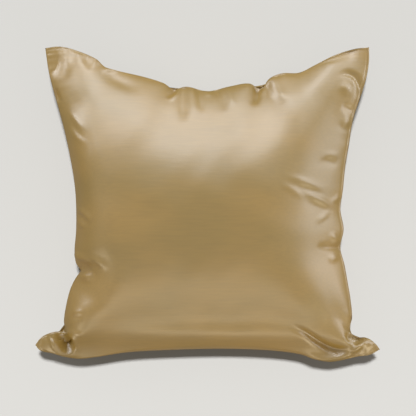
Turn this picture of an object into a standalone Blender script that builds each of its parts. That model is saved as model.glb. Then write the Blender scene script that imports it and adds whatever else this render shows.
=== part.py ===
"""Filled satin cushion cover, 45 cm square when flat, lying on its back.

Two square satin panels are sewn together round all four sides with a plain
knife-edge seam and filled.  The filling crowns both faces, draws the sides in
between the corners and leaves the four corners as flat points.  The two lower
corners are pressed out into folded ears.

Frame: +Z up, the front panel faces +Z, +Y runs to the edge with the two
pointed corners.  The origin is the centre of the bounding box, at the base.
Metres.
"""

import math

import bmesh
import bpy
from mathutils import Vector

MM = 0.001

# ---------------------------------------------------------------- main sizes
GRID = 48                 # cells along each side of a panel
SEAM_HEIGHT = 76.0        # sewn edge above the surface it lies on
SEAM_THICKNESS = 1.6      # four layers of satin at the sewn edge
FRONT_CROWN = 72.0        # front panel above the sewn edge, at its highest
BACK_CROWN = 98.0         # back panel below the sewn edge before it is pressed flat
REST_BLEND = 8.0          # how softly the back turns into the flat it lies on
FULLNESS_X = 1.37         # section angle: nearer pi/2 is fuller at the seams
FULLNESS_TOP = 1.30       # the upper half slopes more gently
FULLNESS_BOTTOM = 1.43    # the filling has settled into the lower half
CROWN_SHIFT = -0.05       # the highest point is a little below the middle
GRID_CROWDING = 1.10      # crowds the grid towards the seams, where it folds
BOW_REACH = 2.2           # how fast a side's long bow dies out into the panel
BEND_REACH = 11           # its short bends and gathers die out close to the seam
BOW_WINDOW = 0.24         # share of a side over which its bow is averaged

# ---------------------------------------------------------------- sewn edge
# One row for each bend of the sewn edge, in millimetres from the middle of the
# panel: x across, y up the panel, dip towards the back (a gather sinks in).
TOP_EDGE = [              # from the left point to the right point
    # x,     y,    dip
    (-211, 203, 0),
    (-192, 205, 0),
    (-171, 200, 0),
    (-145, 189, 1),
    (-134, 179, 7),       # first gather
    (-119, 174, 3),
    (-81, 165, 0),
    (-56, 157, 2),
    (-44, 149, 9),        # second gather
    (-28, 153, 2),
    (0, 147, 5),          # small gather
    (28, 153, 1),
    (54, 157, 0),
    (70, 150, 10),        # third gather
    (80, 163, 3),
    (96, 170, 0),
    (119, 171, 0),
    (140, 181, 0),
    (166, 194, 0),
    (192, 202, 0),
    (210, 204, 0),
]
LEFT_EDGE = [             # from the lower ear to the upper point
    (-224, -183, 0),
    (-216, -173, 0),
    (-203, -167, 2),
    (-187, -164, 10),     # mouth of the ear's fold
    (-187, -152, 5),
    (-185, -137, 1),
    (-179, -112, 0),
    (-171, -95, 2),
    (-165, -87, 9),       # deep gather in the side
    (-171, -77, 3),
    (-173, -61, 0),
    (-171, -35, 0),
    (-171, 0, 0),
    (-173, 27, 0),
    (-178, 58, 0),
    (-185, 91, 0),
    (-193, 122, 0),
    (-201, 150, 0),
    (-207, 175, 0),
    (-211, 203, 0),
]
RIGHT_EDGE = [            # from the lower ear to the upper point
    (224, -189, 0),
    (219, -182, 0),
    (207, -174, 1),
    (194, -177, 7),       # mouth of the ear's fold
    (187, -166, 9),
    (186, -158, 4),
    (188, -147, 0),
    (186, -124, 0),
    (182, -100, 0),
    (178, -78, 1),
    (173, -56, 6),        # gather
    (177, -33, 0),
    (173, -6, 4),         # gather
    (176, 18, 0),
    (179, 48, 0),
    (184, 78, 0),
    (189, 109, 0),
    (198, 137, 0),
    (206, 162, 0),
    (210, 185, 0),
    (210, 204, 0),
]
BOTTOM_EDGE = [           # from the left ear to the right ear
    (-224, -183, 0),
    (-218, -190, 0),
    (-202, -194, 0),
    (-184, -199, 0),
    (-166, -201, 0),
    (-146, -199, 0),
    (-107, -193, 0),
    (-62, -190, 0),
    (10, -188, 0),
    (62, -189, 0),
    (101, -192, 0),
    (123, -196, 0),
    (140, -202, 0),
    (159, -205, 0),
    (179, -202, 0),
    (196, -198, 0),
    (211, -196, 0),
    (224, -189, 0),
]

# ------------------------------------------------------------------- folds
# One row for each main fold or hollow: where it starts and ends in the plane
# of the panel, half its width, and its rise (a trough is negative), in mm.
FRONT_FOLDS = [
    # x0,   y0,   x1,   y1, half width, rise
    (-204, 172, -192, 191, 8, -3.5),     # hollow in the left point
    (-134, 176, -122, 156, 9, -5.0),     # first gather
    (-112, 163, -66, 148, 13, 4.0),      # roll between the gathers
    (-44, 148, -50, 118, 10, -5.0),      # second gather
    (0, 146, 1, 130, 8, -3.0),           # small gather
    (36, 146, 58, 144, 12, 3.0),         # roll before the third gather
    (70, 149, 62, 124, 9, -6.5),         # third gather
    (92, 160, 124, 162, 13, 3.5),        # roll after it
    (166, 166, 190, 157, 9, -4.5),       # hollow in the right point
    (190, 157, 196, 138, 8, -3.0),
    (104, 36, 156, 17, 8, 2.2),          # pulls from the right seam
    (122, 18, 170, -9, 8, 2.6),
    (138, -25, 163, -7, 8, 2.0),
    (172, -56, 146, -56, 9, -4.0),       # right gather
    (-166, -87, -126, -86, 11, -6.0),    # deep left gather
    (-160, -69, -130, -82, 8, 2.6),
    (-171, -5, -152, -24, 7, 2.0),
    (-187, -163, -178, -188, 10, -13.0),  # pocket of the left ear
    (-206, -172, -186, -190, 8, 3.0),    # its rolled rim
    (134, -170, 164, -187, 13, -7.0),    # hollow above the right ear
    (164, -187, 190, -181, 11, -8.0),
    (128, -191, 176, -198, 9, 3.5),      # its rolled rim
]
BACK_FOLDS = [
    (-130, 176, -116, 148, 10, -5.0),
    (-38, 150, -32, 116, 10, -4.5),
    (66, 149, 74, 118, 9, -5.0),
    (-166, -87, -132, -80, 10, -5.0),
    (172, -56, 142, -48, 10, -4.5),
    (173, -6, 140, 4, 9, -3.5),
    (-187, -163, -172, -180, 12, -9.0),
    (187, -166, 166, -182, 12, -9.0),
]

SATIN = {"name": "satin", "colour": (0.42, 0.29, 0.13, 1.0), "roughness": 0.42, "metallic": 0.0}


# --------------------------------------------------------------- geometry
class Edge:
    """A smooth curve through a side's rows, read by its share of the length, -1 to 1."""

    def __init__(self, rows):
        self.points = [Vector((x, y, -dip)) for x, y, dip in rows]
        self.at = [0.0]
        for p, q in zip(self.points, self.points[1:]):
            self.at.append(self.at[-1] + (q - p).length)
        self.length = self.at[-1]

    def __call__(self, share):
        s = (min(max(share, -1.0), 1.0) + 1) / 2 * self.length
        last = len(self.points) - 2
        i = max(k for k in range(last + 1) if k == 0 or self.at[k] <= s)
        p1, p2 = self.points[i], self.points[i + 1]
        p0 = self.points[i - 1] if i else p1 * 2 - p2
        p3 = self.points[i + 2] if i < last else p2 * 2 - p1
        t0 = self.at[i] - (self.at[i] - self.at[i - 1] if i else self.at[1])
        t1, t2 = self.at[i], self.at[i + 1]
        t3 = self.at[i + 2] if i < last else t2 + (t2 - t1)
        h = t2 - t1
        m1 = (p2 - p0) * (h / (t2 - t0))
        m2 = (p3 - p1) * (h / (t3 - t1))
        t = (s - t1) / h
        return (
            p1 * (2 * t**3 - 3 * t**2 + 1)
            + m1 * (t**3 - 2 * t**2 + t)
            + p2 * (3 * t**2 - 2 * t**3)
            + m2 * (t**3 - t**2)
        )


TOP, LEFT, RIGHT, BOTTOM = map(Edge, (TOP_EDGE, LEFT_EDGE, RIGHT_EDGE, BOTTOM_EDGE))


def seam_plane(a, b):
    """The point of the sewn edge's own surface for a place on the panel, a and b from -1 to 1."""
    corners = {
        (-1, -1): BOTTOM(-1), (1, -1): BOTTOM(1), (-1, 1): TOP(-1), (1, 1): TOP(1),
    }
    point = sum(
        (p * ((1 + i * a) * (1 + j * b) / 4) for (i, j), p in corners.items()), Vector()
    )

    def bend(edge, share, start, end):
        return edge(share) - (start * (1 - share) + end * (1 + share)) / 2

    def bow(edge, share, start, end):
        """The side's bend averaged along it, and still nothing at the corners."""
        steps = [BOW_WINDOW * k / 4 for k in range(-4, 5)]
        near = [bend(edge, share + s, start, end) for s in steps if abs(share + s) < 1]
        return sum(near, Vector()) / len(steps) * (1 - share**10)

    for edge, share, across, start, end in (
        (TOP, a, b, corners[-1, 1], corners[1, 1]),
        (BOTTOM, a, -b, corners[-1, -1], corners[1, -1]),
        (RIGHT, b, a, corners[1, -1], corners[1, 1]),
        (LEFT, b, -a, corners[-1, -1], corners[-1, 1]),
    ):
        whole, slow = bend(edge, share, start, end), bow(edge, share, start, end)
        near = (1 + across) / 2
        point += slow * near**BOW_REACH + (whole - slow) * near**BEND_REACH
    return point


def arch(t, angle):
    """A circular arch, 1 at t = 0 and 0 at t = 1 or -1, that meets its ends at this angle."""
    s = min(abs(t), 1.0) * math.sin(angle)
    return (math.sqrt(1 - s * s) - math.cos(angle)) / (1 - math.cos(angle))


def crown(a, b):
    """The height of the filled panel as a share of its crown."""
    shifted = (b - CROWN_SHIFT) / (1 - CROWN_SHIFT if b > CROWN_SHIFT else 1 + CROWN_SHIFT)
    upright = arch(shifted, FULLNESS_TOP if shifted > 0 else FULLNESS_BOTTOM)
    return arch(a, FULLNESS_X) * upright


def folds(point, rows, share):
    """What the folds add to the height. They fade out at the sewn edge, where both panels are one."""
    rise = 0.0
    for x0, y0, x1, y1, width, height in rows:
        start, run = Vector((x0, y0)), Vector((x1 - x0, y1 - y0))
        to = point.xy - start
        t = to.dot(run) / run.length_squared
        off = (to - run * min(max(t, 0.0), 1.0)).length
        if off < 2.5 * width:
            rise += height * math.exp(-((off / width) ** 2)) * (1 - 0.45 * min(max(t, 0), 1))
    return rise * min(1.0, share / 0.10)


def pressed(depth):
    """The back panel's depth below the sewn edge, flattened by the surface it lies on."""
    start = SEAM_HEIGHT - REST_BLEND
    if depth <= start:
        return depth
    t = min((depth - start) / (2 * REST_BLEND), 1.0)
    return start + REST_BLEND * (1 - (1 - t) ** 2)


def panel_point(a, b, front):
    """A point of the front or back panel, in millimetres above the surface the cushion lies on."""
    base = seam_plane(a, b)
    share = crown(a, b)
    half_seam = SEAM_THICKNESS / 2
    if front:
        height = FRONT_CROWN * share + folds(base, FRONT_FOLDS, share)
        return Vector((base.x, base.y, SEAM_HEIGHT + base.z + half_seam + max(height, 0)))
    depth = BACK_CROWN * share + folds(base, BACK_FOLDS, share) - base.z + half_seam
    depth = max(depth, half_seam - base.z)
    return Vector((base.x, base.y, SEAM_HEIGHT - pressed(depth)))


def crowded(t):
    return math.sin(GRID_CROWDING * t) / math.sin(GRID_CROWDING)


# ------------------------------------------------------------------ build
def satin_material():
    material = bpy.data.materials.new(SATIN["name"])
    material.use_nodes = True
    shader = material.node_tree.nodes["Principled BSDF"]
    shader.inputs["Base Color"].default_value = SATIN["colour"]
    shader.inputs["Roughness"].default_value = SATIN["roughness"]
    shader.inputs["Metallic"].default_value = SATIN["metallic"]
    material.diffuse_color = SATIN["colour"]
    return material


def build_cushion(collection):
    """A flat square grid, extruded into the two panels and the sewn edge between them, then filled."""
    bm = bmesh.new()
    bmesh.ops.create_grid(bm, x_segments=GRID, y_segments=GRID, size=1.0)
    flat_front = list(bm.verts)
    made = bmesh.ops.extrude_face_region(bm, geom=list(bm.faces))
    flat_back = [e for e in made["geom"] if isinstance(e, bmesh.types.BMVert)]
    for verts, front in ((flat_front, True), (flat_back, False)):
        for v in verts:
            v.co = panel_point(crowded(v.co.x), crowded(v.co.y), front)
    lo = Vector([min(v.co[k] for v in bm.verts) for k in range(3)])
    hi = Vector([max(v.co[k] for v in bm.verts) for k in range(3)])
    middle = Vector(((lo.x + hi.x) / 2, (lo.y + hi.y) / 2, 0))
    for v in bm.verts:
        v.co = (v.co - middle) * MM
    bmesh.ops.recalc_face_normals(bm, faces=list(bm.faces))
    for face in bm.faces:
        face.smooth = True
    mesh = bpy.data.meshes.new("cushion")
    bm.to_mesh(mesh)
    bm.free()
    mesh.materials.append(satin_material())
    cushion = bpy.data.objects.new("cushion", mesh)
    collection.objects.link(cushion)
    return cushion


def main():
    for obj in list(bpy.data.objects):
        bpy.data.objects.remove(obj, do_unlink=True)
    collection = bpy.data.collections.new("satin_cushion")
    bpy.context.scene.collection.children.link(collection)
    build_cushion(collection)


main()
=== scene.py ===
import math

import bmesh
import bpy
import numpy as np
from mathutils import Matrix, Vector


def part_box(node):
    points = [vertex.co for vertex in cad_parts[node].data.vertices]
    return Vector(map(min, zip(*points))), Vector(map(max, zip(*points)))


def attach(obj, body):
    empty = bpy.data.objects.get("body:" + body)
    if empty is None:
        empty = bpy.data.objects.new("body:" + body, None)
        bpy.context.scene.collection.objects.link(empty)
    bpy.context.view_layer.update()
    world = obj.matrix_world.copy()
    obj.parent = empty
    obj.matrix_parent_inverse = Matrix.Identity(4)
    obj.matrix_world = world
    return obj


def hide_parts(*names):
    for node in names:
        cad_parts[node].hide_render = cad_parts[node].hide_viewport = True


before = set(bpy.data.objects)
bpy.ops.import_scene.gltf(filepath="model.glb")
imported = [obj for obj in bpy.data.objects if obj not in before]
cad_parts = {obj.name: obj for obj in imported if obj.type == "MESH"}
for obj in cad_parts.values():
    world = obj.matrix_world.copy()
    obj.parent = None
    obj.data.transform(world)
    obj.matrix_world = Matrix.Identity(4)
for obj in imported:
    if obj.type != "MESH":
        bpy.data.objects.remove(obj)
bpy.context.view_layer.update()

# The looks of a filled satin cushion cover, lying on its back.
#
# The two panels are cut as flat squares, sewn along the line of the edge tables and filled
# by a cloth simulation, so that the satin puckers the way a real panel does. The folds that
# the simulation can't know, such as the gathers, the pulls and the folded lower corners, are
# then worked in from short tables. Tables are in millimetres, in the row's frame: x across,
# y up the front panel, z away from the surface it lies on.

MM = 0.001
CAD_LOW, CAD_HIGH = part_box("cushion")

# ------------------------------------------------------------------ sizes
CELLS = 104               # cells along each side of a panel while it is simulated
CROWDING = 1.22           # crowds the cells towards the seams, where the folds are
SEAM_HEIGHT = 76.0
FRONT_CROWN = 68.0
BACK_CROWN = 98.0
FULLNESS_X, FULLNESS_TOP, FULLNESS_BOTTOM = 1.37, 1.30, 1.43
CROWN_SHIFT = -0.05
BOW_REACH, BEND_REACH, BOW_WINDOW = 2.2, 11, 0.24

# -------------------------------------------------------------- sewn edge
TOP_EDGE = [              # from the left point to the right point
    # x,     y,    dip
    (-211, 203, 0),
    (-192, 205, 0),
    (-171, 200, 0),
    (-145, 189, 1),
    (-134, 179, 3),       # first gather
    (-119, 174, 1),
    (-81, 165, 0),
    (-56, 157, 1),
    (-44, 149, 4),        # second gather
    (-28, 153, 1),
    (0, 147, 2),          # small gather
    (28, 153, 1),
    (54, 157, 0),
    (70, 150, 5),        # third gather
    (80, 163, 1),
    (96, 170, 0),
    (119, 171, 0),
    (140, 181, 0),
    (166, 194, 0),
    (192, 202, 0),
    (210, 204, 0),
]
LEFT_EDGE = [             # from the lower ear to the upper point
    (-224, -183, 0),
    (-216, -173, 0),
    (-203, -167, 2),
    (-187, -164, 6),     # mouth of the ear's fold
    (-187, -152, 2),
    (-185, -137, 1),
    (-179, -112, 0),
    (-171, -95, 1),
    (-165, -87, 2),       # deep gather in the side
    (-171, -77, 1),
    (-173, -61, 0),
    (-171, -35, 0),
    (-171, 0, 0),
    (-173, 27, 0),
    (-178, 58, 0),
    (-185, 91, 0),
    (-193, 122, 0),
    (-201, 150, 0),
    (-207, 175, 0),
    (-211, 203, 0),
]
RIGHT_EDGE = [            # from the lower ear to the upper point
    (224, -189, 0),
    (219, -182, 0),
    (207, -174, 1),
    (194, -177, 7),       # mouth of the ear's fold
    (187, -166, 9),
    (186, -158, 4),
    (188, -147, 0),
    (186, -124, 0),
    (182, -100, 0),
    (178, -78, 1),
    (173, -56, 6),        # gather
    (177, -33, 0),
    (173, -6, 4),         # gather
    (176, 18, 0),
    (179, 48, 0),
    (184, 78, 0),
    (189, 109, 0),
    (198, 137, 0),
    (206, 162, 0),
    (210, 185, 0),
    (210, 204, 0),
]
BOTTOM_EDGE = [           # from the left ear to the right ear
    (-224, -183, 0),
    (-218, -190, 0),
    (-202, -194, 0),
    (-184, -199, 0),
    (-166, -201, 0),
    (-146, -199, 0),
    (-107, -193, 0),
    (-62, -190, 0),
    (10, -188, 0),
    (62, -189, 0),
    (101, -192, 0),
    (123, -196, 0),
    (140, -202, 0),
    (159, -205, 0),
    (179, -202, 0),
    (196, -198, 0),
    (211, -196, 0),
    (224, -189, 0),
]


class Edge:
    """A smooth curve through a side's rows, read by its share of the length, -1 to 1."""

    def __init__(self, rows):
        p = np.array([(x, y, -dip) for x, y, dip in rows], float)
        self.p = np.vstack([2 * p[0] - p[1], p, 2 * p[-1] - p[-2]])
        steps = np.linalg.norm(np.diff(self.p, axis=0), axis=1)
        self.t = np.concatenate([[0], np.cumsum(steps)]) - steps[0]
        self.length = self.t[-2]

    def __call__(self, share):
        s = (np.clip(share, -1, 1) + 1) / 2 * self.length
        i = np.clip(np.searchsorted(self.t, s, side="right") - 1, 1, len(self.p) - 3)
        p0, p1, p2, p3 = (self.p[i + k] for k in (-1, 0, 1, 2))
        t0, t1, t2, t3 = (self.t[i + k] for k in (-1, 0, 1, 2))
        h = t2 - t1
        m1 = (p2 - p0) * (h / (t2 - t0))[..., None]
        m2 = (p3 - p1) * (h / (t3 - t1))[..., None]
        t = ((s - t1) / h)[..., None]
        return (
            p1 * (2 * t**3 - 3 * t**2 + 1) + m1 * (t**3 - 2 * t**2 + t)
            + p2 * (3 * t**2 - 2 * t**3) + m2 * (t**3 - t**2)
        )


TOP, LEFT, RIGHT, BOTTOM = map(Edge, (TOP_EDGE, LEFT_EDGE, RIGHT_EDGE, BOTTOM_EDGE))


def seam_plane(a, b):
    """The sewn edge's own surface at the places a, b of the panel, each from -1 to 1."""
    corner = {(-1, -1): BOTTOM(-1.0), (1, -1): BOTTOM(1.0), (-1, 1): TOP(-1.0), (1, 1): TOP(1.0)}
    point = sum(p * ((1 + i * a) * (1 + j * b) / 4)[..., None] for (i, j), p in corner.items())
    for edge, share, across, start, end in (
        (TOP, a, b, corner[-1, 1], corner[1, 1]),
        (BOTTOM, a, -b, corner[-1, -1], corner[1, -1]),
        (RIGHT, b, a, corner[1, -1], corner[1, 1]),
        (LEFT, b, -a, corner[-1, -1], corner[-1, 1]),
    ):
        def bend(s):
            s = s[..., None]
            return edge(s[..., 0]) - (start * (1 - s) + end * (1 + s)) / 2

        slow, count = np.zeros(a.shape + (3,)), np.zeros(a.shape + (1,))
        for k in range(-4, 5):
            s = share + BOW_WINDOW * k / 4
            inside = (np.abs(s) < 1)[..., None]
            slow += np.where(inside, bend(s), 0)
            count += 1
        slow = slow / count * (1 - share**10)[..., None]
        near = ((1 + across) / 2)[..., None]
        point += slow * near**BOW_REACH + (bend(share) - slow) * near**BEND_REACH
    return point


def arch(t, angle):
    s = np.minimum(np.abs(t), 1.0) * math.sin(angle)
    return (np.sqrt(1 - s * s) - math.cos(angle)) / (1 - math.cos(angle))


def crown(a, b):
    up = (b - CROWN_SHIFT) / np.where(b > CROWN_SHIFT, 1 - CROWN_SHIFT, 1 + CROWN_SHIFT)
    return arch(a, FULLNESS_X) * np.where(up > 0, arch(up, FULLNESS_TOP), arch(up, FULLNESS_BOTTOM))


def places(cells):
    """Where the panel's grid lines are, -1 to 1, closer together near the seams."""
    t = np.linspace(-1, 1, cells + 1)
    return np.sin(CROWDING * t) / math.sin(CROWDING)


class Cushion:
    """Two panels of (cells + 1) x (cells + 1) points that share their rim."""

    def __init__(self, front, back):
        self.front, self.back = front, back
        n = len(front)
        self.index_front = np.arange(n * n).reshape(n, n)
        self.index_back = self.index_front.copy()
        self.index_back[1:-1, 1:-1] = n * n + np.arange((n - 2) ** 2).reshape(n - 2, n - 2)
        back[0], back[-1], back[:, 0], back[:, -1] = front[0], front[-1], front[:, 0], front[:, -1]

    def points(self):
        return np.vstack([self.front.reshape(-1, 3), self.back[1:-1, 1:-1].reshape(-1, 3)])

    def faces(self):
        f, b = self.index_front, self.index_back
        up = np.stack([f[:-1, :-1], f[1:, :-1], f[1:, 1:], f[:-1, 1:]], -1).reshape(-1, 4)
        down = np.stack([b[:-1, :-1], b[:-1, 1:], b[1:, 1:], b[1:, :-1]], -1).reshape(-1, 4)
        return np.vstack([up, down])

    def mesh(self, name):
        mesh = bpy.data.meshes.new(name)
        mesh.from_pydata((self.points() * MM).tolist(), [], self.faces().tolist())
        mesh.update()
        return mesh


def sewn_and_half_filled(cells, fill):
    a, b = np.meshgrid(places(cells), places(cells), indexing="ij")
    base, share = seam_plane(a, b), crown(a, b)
    front, back = base.copy(), base.copy()
    front[..., 2] += SEAM_HEIGHT + fill * FRONT_CROWN * share
    back[..., 2] += SEAM_HEIGHT - fill * BACK_CROWN * share
    return Cushion(front, back)


# ------------------------------------------------------- filling the cover
FILL = {                  # how the cloth is simulated
    "start": 0.9,         # share of the crown that the panels start with
    "cut_front": 434.5,   # the flat length of satin from seam to seam, mm
    "cut_back": 438.0,
    "frames": 30,
    "pressure": 60.0,
    "tension": 20.0,
    "compression": 1.0,   # low: the weave takes up what would be very fine puckers
    "shear": 8.0,
    "bending": 3.0,
    "mass": 0.05,
    "quality": 5,
}


def cloth_panel(name, grid, cut):
    """One panel as a cloth object: sewn and held along its rim, cut flat and square."""
    n = len(grid)
    index = np.arange(n * n).reshape(n, n)
    quads = np.stack([index[:-1, :-1], index[1:, :-1], index[1:, 1:], index[:-1, 1:]], -1).reshape(-1, 4)
    if name == "back":
        quads = quads[:, ::-1]
    mesh = bpy.data.meshes.new(name)
    mesh.from_pydata((grid.reshape(-1, 3) * MM).tolist(), [], quads.tolist())
    panel = bpy.data.objects.new(name, mesh)
    bpy.context.scene.collection.objects.link(panel)
    a, b = np.meshgrid(places(n - 1), places(n - 1), indexing="ij")
    flat = np.stack([a * cut / 2, b * cut / 2, a * 0], -1).reshape(-1, 3) * MM
    panel.shape_key_add(name="sewn", from_mix=False)
    key = panel.shape_key_add(name="cut", from_mix=False)
    key.data.foreach_set("co", flat.astype(np.float32).ravel())
    rim = sorted(set(np.concatenate([index[0], index[-1], index[:, 0], index[:, -1]]).tolist()))
    panel.vertex_groups.new(name="seam").add(rim, 1.0, "REPLACE")
    # A modifier before Cloth, which changes nothing, makes Cloth read the rest shape key.
    panel.modifiers.new("before", "VERTEX_WEIGHT_EDIT").vertex_group = "seam"
    cloth = panel.modifiers.new("cloth", "CLOTH")
    c = cloth.settings
    c.rest_shape_key = key
    c.quality = FILL["quality"]
    c.mass = FILL["mass"]
    c.tension_stiffness = FILL["tension"]
    c.compression_stiffness = FILL["compression"]
    c.shear_stiffness = FILL["shear"]
    c.bending_stiffness = FILL["bending"]
    c.tension_damping = c.compression_damping = c.shear_damping = 5.0
    c.bending_damping = 0.5
    c.air_damping = 2.0
    c.vertex_group_mass = "seam"
    c.pin_stiffness = 1.0
    c.use_pressure = True
    c.uniform_pressure_force = FILL["pressure"]
    c.effector_weights.gravity = 0.0
    cloth.collision_settings.use_collision = False
    cloth.point_cache.frame_start, cloth.point_cache.frame_end = 1, FILL["frames"]
    return panel


def filled(cushion):
    """The panels after the filling has pushed them out, their sewn rim held where it is."""
    panels = [
        cloth_panel("front", cushion.front, FILL["cut_front"]),
        cloth_panel("back", cushion.back, FILL["cut_back"]),
    ]
    for k in range(1, FILL["frames"] + 1):
        bpy.context.scene.frame_set(k)
    shapes = []
    for panel in panels:
        shape = panel.evaluated_get(bpy.context.evaluated_depsgraph_get()).data
        co = np.zeros(len(shape.vertices) * 3, np.float32)
        shape.vertices.foreach_get("co", co)
        shapes.append(co.reshape(cushion.front.shape).astype(float) / MM)
    for panel in panels:
        old = panel.data
        bpy.data.objects.remove(panel, do_unlink=True)
        bpy.data.meshes.remove(old)
    bpy.context.scene.frame_set(1)
    return Cushion(*shapes)


# ------------------------------------------------------ finer, and pressed
def between(p):
    """Doubles the points along the first axis, on a smooth curve through the old ones."""
    q = np.concatenate([2 * p[:1] - p[1:2], p, 2 * p[-1:] - p[-2:-1]])
    mid = (9 * (q[1:-2] + q[2:-1]) - q[:-3] - q[3:]) / 16
    out = np.empty((2 * len(p) - 1,) + p.shape[1:])
    out[::2], out[1::2] = p, mid
    return out


def finer(grid):
    return between(between(grid).swapaxes(0, 1)).swapaxes(0, 1)


def pressed(z, soft):
    """Heights near the surface turn softly into it."""
    return np.where(z >= soft, z, np.where(z <= -soft, 0, (z + soft) ** 2 / (4 * soft)))


def surface_normals(grid):
    du, dv = np.gradient(grid, axis=0), np.gradient(grid, axis=1)
    n = np.cross(du, dv)
    return n / np.maximum(np.linalg.norm(n, axis=-1, keepdims=True), 1e-12)


def smooth_step(t):
    t = np.clip(t, 0, 1)
    return t * t * (3 - 2 * t)


FILLING = [               # soft mounds and hollows of the filling under the front panel
    # x,    y, half width, half height, lift
    (110, -100, 45, 40, -6),
    (150, -155, 32, 26, -8),      # slack, above the right ear
    (30, -90, 90, 38, 5),
    (15, -171, 118, 9, 12),       # rolls under along the bottom
]


def settled(grid):
    """The filling has sunk towards the bottom edge, so the upper half slopes more gently."""
    n = len(grid)
    b = np.linspace(-1, 1, n)[None, :]
    share = 1 - 0.05 * smooth_step((b + 0.6) / 1.2)
    grid[..., 2] = SEAM_HEIGHT + (grid[..., 2] - SEAM_HEIGHT) * share
    x, y = grid[..., 0].copy(), grid[..., 1].copy()
    filled_out = np.clip((grid[..., 2] - SEAM_HEIGHT) / 30, 0, 1)
    for cx, cy, wide, tall, lift in FILLING:
        grid[..., 2] += lift * filled_out * np.exp(-(((x - cx) / wide) ** 2 + ((y - cy) / tall) ** 2) / 2)
    return grid


def drawn_in(grid, soft, past_seam=0.0):
    """Keeps a panel from bulging out past its own sewn edge, as seen from straight above."""
    n = len(grid)
    for turn in range(4):
        side = np.rot90(grid, turn)          # its first row is one sewn edge, seen as a view
        rim = side[0, :, :2].copy()
        along = np.gradient(rim, axis=0)
        for _ in range(4):
            along[1:-1] = (along[:-2] + 2 * along[1:-1] + along[2:]) / 4
        out = np.stack([along[:, 1], -along[:, 0]], -1)
        out /= np.linalg.norm(out, axis=-1, keepdims=True)
        if (out * (rim - grid[n // 2, n // 2, :2])).sum() < 0:
            out = -out
        for k in range(1, n // 4):
            row = side[k, :, :2]
            gap = row[:, None] - rim[None]
            near = np.argmin((gap**2).sum(-1), axis=1)
            past = (gap[np.arange(n), near] * out[near]).sum(-1) - past_seam
            kept = -np.where(past <= -soft, -past, np.where(past >= soft, 0, (soft - past) ** 2 / (4 * soft)))
            side[k, :, :2] += (kept - past)[:, None] * out[near]
    return grid


SEAM_RISE = {             # how the front panel may leave the seam, along each side
    # share of the side, slope in degrees, extra height of the first steep centimetre
    "top": [(-1, 25, 0), (-0.7, 29, 2), (-0.5, 29, 5), (-0.3, 28, 10), (0, 27, 13), (0.3, 28, 12), (0.5, 29, 8),
            (0.75, 30, 4), (1, 25, 0)],
    "left": [(-1, 35, 0), (-0.75, 46, 13), (-0.55, 51, 19), (-0.4, 43, 8), (-0.25, 52, 21), (0.2, 53, 24), (0.35, 48, 18),
             (0.5, 37, 7), (0.75, 28, 2), (1, 22, 0)],
    "right": [(-1, 35, 0), (-0.75, 40, 5), (-0.4, 40, 6), (0.2, 38, 5), (0.5, 36, 4), (0.75, 33, 3), (1, 25, 0)],
    "bottom": [(-1, 35, 0), (-0.7, 44, 10), (-0.45, 58, 26), (0.35, 58, 26), (0.6, 46, 12), (1, 35, 0)],
}
SEAM_TURN = {"top": 20, "left": 22, "right": 34, "bottom": 16}      # how softly each side's rise ends


def from_side(grid, line):
    """The distance of each point from a side of the rim, seen from above, and the share there."""
    p, q = grid[..., :2].reshape(-1, 2), line[:, :2]
    nearest = np.concatenate([
        np.argmin(((part[:, None] - q[None]) ** 2).sum(-1), axis=1) for part in np.array_split(p, 20)
    ])
    away, share = np.full(len(p), 1e9), np.zeros(len(p))
    for step in (-1, 1):
        other = np.clip(nearest + step, 0, len(q) - 1)
        a, b = q[nearest], q[other]
        t = np.clip(((p - a) * (b - a)).sum(-1) / np.maximum(((b - a) ** 2).sum(-1), 1e-9), 0, 1)
        gap = np.linalg.norm(p - a - t[:, None] * (b - a), axis=-1)
        share = np.where(gap < away, (nearest + t * (other - nearest)) / (len(q) - 1) * 2 - 1, share)
        away = np.minimum(away, gap)
    return away.reshape(grid.shape[:2]), share.reshape(grid.shape[:2])


def lower_of(a, b, soft):
    """The lower of two heights, with a soft turn between them."""
    return np.minimum(a, b) - np.maximum(soft - np.abs(a - b), 0) ** 2 / (4 * np.maximum(soft, 1e-6))


def knife_edged(grid):
    """Lowers the panel near the seam, so that it leaves it as a knife edge and not as a wall."""
    z = grid[..., 2].copy()
    for name, line in (("top", grid[:, -1]), ("bottom", grid[:, 0]), ("left", grid[0]), ("right", grid[-1])):
        away, share = from_side(grid, line)
        shares, degrees, walls = zip(*SEAM_RISE[name])
        slope, wall = np.tan(np.radians(np.interp(share, shares, degrees))), np.interp(share, shares, walls)
        rise = slope * away + wall * (1 - np.exp(-away / 10))
        z = lower_of(z, SEAM_HEIGHT + rise, SEAM_TURN[name] * np.clip(away / 25, 0, 1))
    grid[1:-1, 1:-1, 2] = z[1:-1, 1:-1]
    return grid


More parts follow.
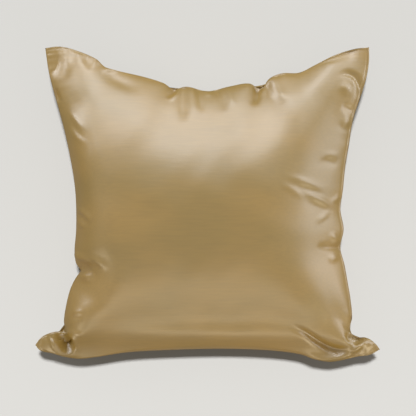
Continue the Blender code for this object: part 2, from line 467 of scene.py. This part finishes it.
CREASES = [               # folds of the front panel, as lines seen from straight above
    # half width, height (below 0 sinks in), then the line's points x, y; * runs full to its first end
    # -- gathers of the top edge
    ("", 3.2, 2.2, (-141, 174), (-127, 175), (-111, 174)),
    ("", 7.0, -2.4, (-142, 172), (-115, 160), (-84, 146)),
    ("*", 2.6, -3.0, (-41, 152), (-44, 145), (-54, 138)),
    ("*", 3.0, 2.4, (-36, 154), (-40, 143), (-52, 134)),
    ("*", 6.5, -2.2, (-31, 152), (-32, 128), (-30, 104)),
    ("*", 5.0, 0.6, (-20, 150), (-19, 130), (-17, 112)),
    ("*", 3.5, -1.4, (-12, 148), (-9, 132), (-6, 118)),
    ("*", 3.0, 1.6, (-3, 147), (1, 143), (3, 139)),
    ("*", 4.5, -1.3, (12, 148), (18, 134), (21, 118)),
    ("*", 4.0, 1.2, (24, 152), (30, 138), (33, 124)),
    ("*", 4.4, -5.0, (67, 156), (64, 141), (60, 126)),
    ("*", 3.2, 2.6, (76, 159), (72, 149), (70, 138)),
    ("*", 7.0, 2.2, (84, 162), (92, 146), (104, 130)),
    # -- upper left corner
    ("", 5.5, -4.0, (-200, 200), (-199, 185), (-202, 166)),
    ("*", 3.0, -2.2, (-198, 147), (-195, 140), (-192, 132)),
    ("", 6.0, -2.4, (-168, 195), (-156, 186), (-154, 172)),
    ("", 5.0, 2.0, (-186, 200), (-181, 182), (-184, 160)),
    # -- upper right corner
    ("", 4.0, -3.4, (167, 163), (181, 170), (193, 164), (198, 150), (193, 133)),
    ("", 6.0, 2.2, (172, 158), (180, 150), (184, 140)),
    ("", 5.0, -2.0, (174, 130), (184, 124), (192, 122)),
    ("", 6.0, 2.2, (188, 117), (182, 108), (173, 98)),
    ("", 5.0, -1.2, (148, 64), (158, 56), (170, 48)),
    # -- pulls of the right side
    ("", 4.2, 1.7, (98, 38), (126, 29), (156, 17)),
    ("", 4.6, -0.9, (112, 24), (132, 18), (152, 8)),
    ("", 3.8, 1.3, (92, 27), (110, 19), (128, 6)),
    ("", 3.8, 2.0, (118, 20), (146, 6), (173, -10)),
    ("", 4.8, -1.1, (124, 4), (144, -5), (164, -16)),
    ("", 3.4, 1.4, (138, -26), (150, -17), (162, -8)),
    ("", 4.2, 1.1, (144, 60), (160, 64), (176, 62)),
    ("", 4.6, -0.6, (136, 51), (156, 54), (174, 52)),
    ("", 3.2, 1.2, (158, 2), (167, 6), (174, 14)),
    ("", 4.6, 2.2, (159, -36), (167, -46), (174, -52)),
    ("*", 3.4, -3.0, (174, -56), (160, -56), (140, -55)),
    ("", 4.6, 2.2, (174, -65), (164, -70), (156, -77)),
    # -- pulls of the left side
    ("", 3.2, 1.0, (-182, 124), (-170, 108), (-154, 92)),
    ("", 3.2, -0.8, (-184, 114), (-172, 98), (-158, 82)),
    ("", 3.2, 1.0, (-182, 101), (-169, 86), (-153, 74)),
    ("", 3.4, 2.2, (-173, -2), (-163, -10), (-150, -24)),
    ("", 3.0, -1.4, (-172, -10), (-162, -18), (-154, -30)),
    ("", 3.4, 2.2, (-173, -16), (-165, -25), (-156, -33)),
    ("*", 3.8, 3.0, (-172, -66), (-160, -72), (-149, -80)),
    ("", 4.0, -3.0, (-168, -72), (-158, -79), (-147, -91)),
    ("", 6.0, 6.0, (-174, -92), (-162, -93), (-146, -94)),
    ("", 4.0, 3.0, (-160, -68), (-146, -73), (-128, -86)),
    ("", 4.0, 1.6, (-179, -136), (-171, -141), (-161, -139)),
    ("", 4.0, -1.6, (-178, -143), (-170, -147), (-160, -145)),
    ("*", 3.6, 1.4, (-178, -166), (-168, -170), (-158, -170)),
    # -- left ear
    ("", 12.0, 8.0, (-224, -184), (-206, -190), (-186, -196), (-162, -199)),
    ("", 7.4, -22.0, (-198, -166), (-190, -174), (-182, -184), (-175, -194)),
    ("", 3.6, 3.4, (-186, -163), (-180, -173), (-173, -181), (-171, -187), (-176, -196)),
    ("", 3.6, 4.4, (-214, -170), (-204, -174), (-197, -184), (-188, -191), (-178, -197)),
    # -- right ear
    ("", 4.2, -9.0, (104, -156), (126, -167), (144, -180), (160, -188), (176, -190), (190, -187)),
    ("", 5.0, 5.5, (118, -188), (136, -197), (152, -201), (168, -200), (186, -193), (204, -180)),
    ("", 3.4, 4.0, (182, -180), (188, -189), (198, -184), (208, -175)),
    ("", 2.8, 2.4, (184, -164), (189, -172), (190, -180)),
    ("", 2.8, -3.4, (180, -166), (184, -174), (186, -182)),
]

EYE_HEIGHT = 2300.0       # the crease lines are laid out as seen from this far above the seam


def creased(grid, rows):
    n = len(grid)
    out = grid.copy()
    for _ in range(6):                    # directions for the folds, taken from a calmer surface
        out[1:-1, 1:-1] = (out[:-2, 1:-1] + out[2:, 1:-1] + out[1:-1, :-2] + out[1:-1, 2:]) / 4
    normals = surface_normals(out)
    if normals[n // 2, n // 2, 2] < 0:
        normals = -normals
    normals[..., 2] += 0.9                # on the walls the folds stand partly upright
    normals /= np.linalg.norm(normals, axis=-1, keepdims=True)
    for index in range(5):                # and beside the seam they stand straight up
        for edge in (normals[index], normals[-1 - index], normals[:, index], normals[:, -1 - index]):
            edge[..., :2] *= index / 5
    seen = grid[..., :2] * (EYE_HEIGHT / (EYE_HEIGHT - (grid[..., 2] - SEAM_HEIGHT)))[..., None]
    lift = np.zeros((n, n))
    for ends, wide, high, *line in rows:
        curve = Edge([(x, y, 0) for x, y in line])(np.linspace(-1, 1, 25))[:, :2]
        low, top = curve.min(0) - 3.2 * wide, curve.max(0) + 3.2 * wide
        near = np.all((seen > low) & (seen < top), axis=-1)
        p = seen[near]
        away, along = np.full(len(p), 1e9), np.zeros(len(p))
        for k in range(24):
            a, step = curve[k], curve[k + 1] - curve[k]
            t = np.clip((p - a) @ step / (step @ step), 0, 1)
            gap = np.linalg.norm(p - a - t[:, None] * step, axis=-1)
            along = np.where(gap < away, (k + t) / 24, along)
            away = np.minimum(away, gap)
        fade = smooth_step((1 - along) / 0.45)
        if ends != "*":
            fade = fade * smooth_step(along / 0.45)
        lift[near] += high * fade * np.exp(-((away / wide) ** 2))
    rise = np.maximum(grid[..., 2] - SEAM_HEIGHT, 0)      # no fold sinks through the back panel
    in_ear = (np.abs(grid[..., 0]) > 165) & (grid[..., 1] < -150)
    lift = np.maximum(lift, -np.where(in_ear, 0.8 * rise + 12, 0.8 * rise))
    rows = np.minimum(np.arange(n), np.arange(n)[::-1])
    lift *= np.clip(np.minimum(rows[:, None], rows[None, :]) / 5, 0, 1)
    grid[1:-1, 1:-1] += (normals * lift[..., None])[1:-1, 1:-1]
    return grid


def puckered(grid, high, reach=9.0):
    """Small ripples that the stitches draw into the panel, and the seam's own flat lip."""
    z = np.zeros(grid.shape[:2])
    for k, (line, length) in enumerate(
        ((grid[:, -1], 440), (grid[:, 0], 460), (grid[0], 390), (grid[-1], 400))
    ):
        away, share = from_side(grid, line.copy())
        s = (share + 1) / 2 * length
        ripple = (
            np.sin(s / 1.9 + 2.1 * np.sin(s / 13.0 + k) + 1.3 * k)
            + 0.8 * np.sin(s / 3.3 + 1.7 * np.sin(s / 21.0) + 2 * k)
        ) * (0.55 + 0.45 * np.sin(s / 37.0 + 2.3 * k))
        z += high * ripple * np.clip(away / 3.0, 0, 1) * np.exp(-away / reach)
        lip = 0.5 if k == 3 else 0.1
        z += lip * (0.5 * np.exp(-(((away - 1.0) / 0.8) ** 2)) - np.exp(-(((away - 2.8) / 1.0) ** 2)))
    grid[1:-1, 1:-1, 2] += z[1:-1, 1:-1]
    return grid


def ironed(grid, passes, clear):
    """Smooths what the simulation left in the middle of the panel; the last centimetres stay."""
    away = np.min([from_side(grid, line.copy())[0] for line in (grid[:, -1], grid[:, 0], grid[0], grid[-1])], axis=0)
    share = (0.5 * smooth_step((away - clear) / 18))[1:-1, 1:-1, None]
    for _ in range(passes):
        calm = (grid[:-2, 1:-1] + grid[2:, 1:-1] + grid[1:-1, :-2] + grid[1:-1, 2:]) / 4
        grid[1:-1, 1:-1] += share * (calm - grid[1:-1, 1:-1])
    return grid


def rippled(grid, high):
    """The slow unevenness of the filling, which makes the shine on the satin waver."""
    x, y = grid[..., 0], grid[..., 1]
    wave = (
        np.sin(x / 17 + 1.3 * np.sin(y / 31 + 0.6)) * np.sin(y / 12 + 0.9 * np.sin(x / 41))
        + 0.8 * np.sin((x + 0.5 * y) / 11 + 1.1 * np.sin(y / 23)) * np.sin((y - 0.3 * x) / 19 + 1.0)
        + 0.5 * np.sin((x - y) / 8.5 + 1.7 * np.sin(x / 29))
    )
    inside = np.clip((grid[..., 2] - SEAM_HEIGHT) / 25, 0, 1)
    grid[1:-1, 1:-1, 2] += (high * wave * inside)[1:-1, 1:-1]
    return grid


def finished(cushion):
    """The cushion after the filling, with everything that the simulation leaves out."""
    front, back = finer(cushion.front), finer(cushion.back)
    settled(front)
    drawn_in(front, 3.0)
    drawn_in(back, 3.0)
    knife_edged(front)
    ironed(front, 60, 1.0)
    rippled(front, 0.22)
    creased(front, CREASES)
    drawn_in(front, 1.5)
    puckered(front, 0.35)
    for x, y in ((-192, -182), (192, -184)):          # room inside the folded lower corners
        near = ((back[1:-1, 1:-1, 0] - x) / 22) ** 2 + ((back[1:-1, 1:-1, 1] - y) / 14) ** 2
        back[1:-1, 1:-1, 2] -= 12 * np.exp(-near)
    back[..., 2] = pressed(back[..., 2], 8.0)
    low = back[..., 2].min()                          # and down onto the floor
    back[1:-1, 1:-1, 2] -= low * np.clip(1 - back[1:-1, 1:-1, 2] / SEAM_HEIGHT, 0, 1)
    step = np.minimum(np.arange(len(back)), np.arange(len(back))[::-1])
    row = np.minimum(step[:, None], step[None, :])    # counted from the seam
    under = np.minimum(back[..., 2], front[..., 2] - 0.35 * row)
    back[..., 2] = np.where(row <= 8, under, back[..., 2])
    return Cushion(front, back)


# ------------------------------------------------------------------- piece
cover = sewn_and_half_filled(CELLS, FILL["start"])
cover = filled(cover)
cover = finished(cover)
mesh = cover.mesh("satin_cover")
mesh.shade_smooth()
piece = bpy.data.objects.new("satin_cover", mesh)
bpy.context.scene.collection.objects.link(piece)


# --------------------------------------------------------------- materials
def node(tree, kind, **values):
    made = tree.nodes.new(kind)
    for name, value in values.items():
        if name in made.bl_rna.properties:
            setattr(made, name, value)
        else:
            made.inputs[name.replace("_", " ")].default_value = value
    return made


def satin():
    """Champagne-gold satin: a fine weave, a slow drift of its colour and a wide soft shine."""
    material = bpy.data.materials.new("satin")
    material.use_nodes = True
    tree = material.node_tree
    shader = tree.nodes["Principled BSDF"]
    shader.inputs["Roughness"].default_value = 0.38
    shader.inputs["IOR"].default_value = 2.4
    place = node(tree, "ShaderNodeTexCoord").outputs["Object"]

    def stretched(x, y, z):
        mapping = node(tree, "ShaderNodeMapping", Scale=(x, y, z))
        tree.links.new(place, mapping.inputs["Vector"])
        return mapping.outputs["Vector"]

    def noise(vector, scale, detail):
        made = node(tree, "ShaderNodeTexNoise", Scale=scale, Detail=detail, Roughness=0.55)
        tree.links.new(vector, made.inputs["Vector"])
        return made.outputs["Fac"]

    # colour: slow clouds, and slubs that run across the panel with the weft
    clouds = node(tree, "ShaderNodeMapRange", From_Min=0.35, From_Max=0.65)
    tree.links.new(noise(stretched(1, 1.6, 1), 9, 2), clouds.inputs["Value"])
    tint = node(tree, "ShaderNodeMix", data_type="RGBA")
    tint.inputs[6].default_value = (0.362, 0.230, 0.042, 1)
    tint.inputs[7].default_value = (0.428, 0.262, 0.050, 1)
    tree.links.new(clouds.outputs["Result"], tint.inputs[0])
    slubs = node(tree, "ShaderNodeMapRange", From_Min=0.3, From_Max=0.7, To_Min=0.95, To_Max=1.05)
    tree.links.new(noise(stretched(1, 14, 14), 30, 3), slubs.inputs["Value"])
    colour = node(tree, "ShaderNodeVectorMath", operation="SCALE")
    tree.links.new(tint.outputs[2], colour.inputs[0])
    tree.links.new(slubs.outputs["Result"], colour.inputs["Scale"])
    tree.links.new(colour.outputs["Vector"], shader.inputs["Base Color"])

    # relief: fine threads, very shallow, and the slubs
    threads = node(tree, "ShaderNodeTexWave", wave_type="BANDS", bands_direction="Y", Scale=320, Distortion=1.5, Detail=2)
    tree.links.new(place, threads.inputs["Vector"])
    weave = node(tree, "ShaderNodeBump", Strength=0.06, Distance=0.0002)
    tree.links.new(threads.outputs["Fac"], weave.inputs["Height"])
    uneven = node(tree, "ShaderNodeBump", Strength=0.18, Distance=0.0004)
    tree.links.new(noise(stretched(1, 6, 6), 45, 2), uneven.inputs["Height"])
    tree.links.new(weave.outputs["Normal"], uneven.inputs["Normal"])
    tree.links.new(uneven.outputs["Normal"], shader.inputs["Normal"])
    return material


piece.data.materials.append(satin())
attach(piece, "root")
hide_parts("cushion")

# ------------------------------------------------------------------- stage
floor_mesh = bpy.data.meshes.new("floor")
floor_mesh.from_pydata([(-6, -6, 0), (6, -6, 0), (6, 6, 0), (-6, 6, 0)], [], [(0, 1, 2, 3)])
floor = bpy.data.objects.new("floor", floor_mesh)
bpy.context.scene.collection.objects.link(floor)
paper = bpy.data.materials.new("floor")
paper.use_nodes = True
sheet = paper.node_tree
sheet.nodes["Principled BSDF"].inputs["Roughness"].default_value = 0.9
sheet.nodes["Principled BSDF"].inputs["Specular IOR Level"].default_value = 0.1
pale = sheet.nodes.new("ShaderNodeVectorMath")           # evenly pale under a light that is nearer one side
pale.operation = "SCALE"
pale.inputs[0].default_value = (0.35, 0.348, 0.338)
even = sheet.nodes.new("ShaderNodeMapRange")
for name, value in (("From Min", -0.27), ("From Max", 0.27), ("To Min", 1.09), ("To Max", 0.99)):
    even.inputs[name].default_value = value
spot = sheet.nodes.new("ShaderNodeTexCoord")
split = sheet.nodes.new("ShaderNodeSeparateXYZ")
sheet.links.new(spot.outputs["Object"], split.inputs["Vector"])
sheet.links.new(split.outputs["Y"], even.inputs["Value"])
sheet.links.new(even.outputs["Result"], pale.inputs["Scale"])
sheet.links.new(pale.outputs["Vector"], sheet.nodes["Principled BSDF"].inputs["Base Color"])
floor.data.materials.append(paper)
floor.visible_diffuse = floor.visible_glossy = False     # its light doesn't fill the satin's sides


def softbox(name, bearing, height, away, size, watts, colour=(1, 1, 1), only=None):
    """A soft box that faces the cushion; bearing in degrees from +Y towards +X."""
    light = bpy.data.lights.new(name, "AREA")
    light.shape = "RECTANGLE"
    light.size, light.size_y = size
    light.energy = watts
    light.color = colour
    lamp = bpy.data.objects.new(name, light)
    turn, rise = math.radians(bearing), math.radians(height)
    toward = Vector((math.sin(turn) * math.cos(rise), math.cos(turn) * math.cos(rise), math.sin(rise)))
    lamp.location = Vector((0, 0, 0.08)) + toward * away
    lamp.rotation_euler = (-toward).to_track_quat("-Z", "Y").to_euler()
    bpy.context.scene.collection.objects.link(lamp)
    if only:
        group = bpy.data.collections.new(name + "_lit")
        group.objects.link(only)
        lamp.light_linking.receiver_collection = group
    return lamp


for name, bearing, height, away, size, watts in (
    ("window", 0, 34.5, 1.7, (0.9, 0.62), 5.7),
    ("window_left", -36, 35, 1.7, (0.9, 0.62), 2.9),
    ("window_right", 36, 35, 1.7, (0.9, 0.62), 2.9),
    ("far_left", -50, 14, 1.7, (1.0, 0.4), 6.0),
    ("far_right", 50, 14, 1.7, (1.0, 0.4), 2.5),
    ("far_top", 0, 8, 1.7, (1.2, 0.4), 1.1),
    ("right", 76, 13, 1.7, (1.2, 0.7), 5.0),
    ("low", 180, 42, 1.7, (1.4, 0.7), 3.0),
    ("low_right", 135, 16, 1.7, (1.0, 0.6), 5),
    ("low_left", 225, 16, 1.7, (1.0, 0.6), 4.0),
):
    softbox(name, bearing, height, away, size, watts, (1.0, 0.88, 0.64) if "low" in name else (0.97, 1, 1.06), piece)
softbox("floor_light", 0, 78.6, 6.0, (0.35, 0.35), 610, (1, 1, 1), floor)

world = bpy.data.worlds.new("studio")     # an even room, dimmer below the table top
world.use_nodes = True
sky = world.node_tree
where = sky.nodes.new("ShaderNodeTexCoord")
height = sky.nodes.new("ShaderNodeSeparateXYZ")
level = sky.nodes.new("ShaderNodeMapRange")
level.interpolation_type = "SMOOTHSTEP"
for name, value in (("From Min", -0.25), ("From Max", 0.15), ("To Min", 0.24), ("To Max", 0.38)):
    level.inputs[name].default_value = value
sky.links.new(where.outputs["Generated"], height.inputs["Vector"])
sky.links.new(height.outputs["Z"], level.inputs["Value"])
sky.nodes["Background"].inputs["Color"].default_value = (1, 0.95, 0.87, 1)
sky.links.new(level.outputs["Result"], sky.nodes["Background"].inputs["Strength"])
bpy.context.scene.world = world

SEAM_VIEW = 2.3           # the camera's height above the sewn edge
camera = bpy.data.objects.new("camera", bpy.data.cameras.new("camera"))
camera.data.sensor_width = 36
camera.data.lens = 36 * SEAM_VIEW / 0.541
camera.location = (0.0006, -0.005, SEAM_HEIGHT * MM + SEAM_VIEW)
camera.rotation_euler = (0, 0, 0)
bpy.context.scene.collection.objects.link(camera)
bpy.context.scene.camera = camera
bpy.context.scene.view_settings.view_transform = "Standard"
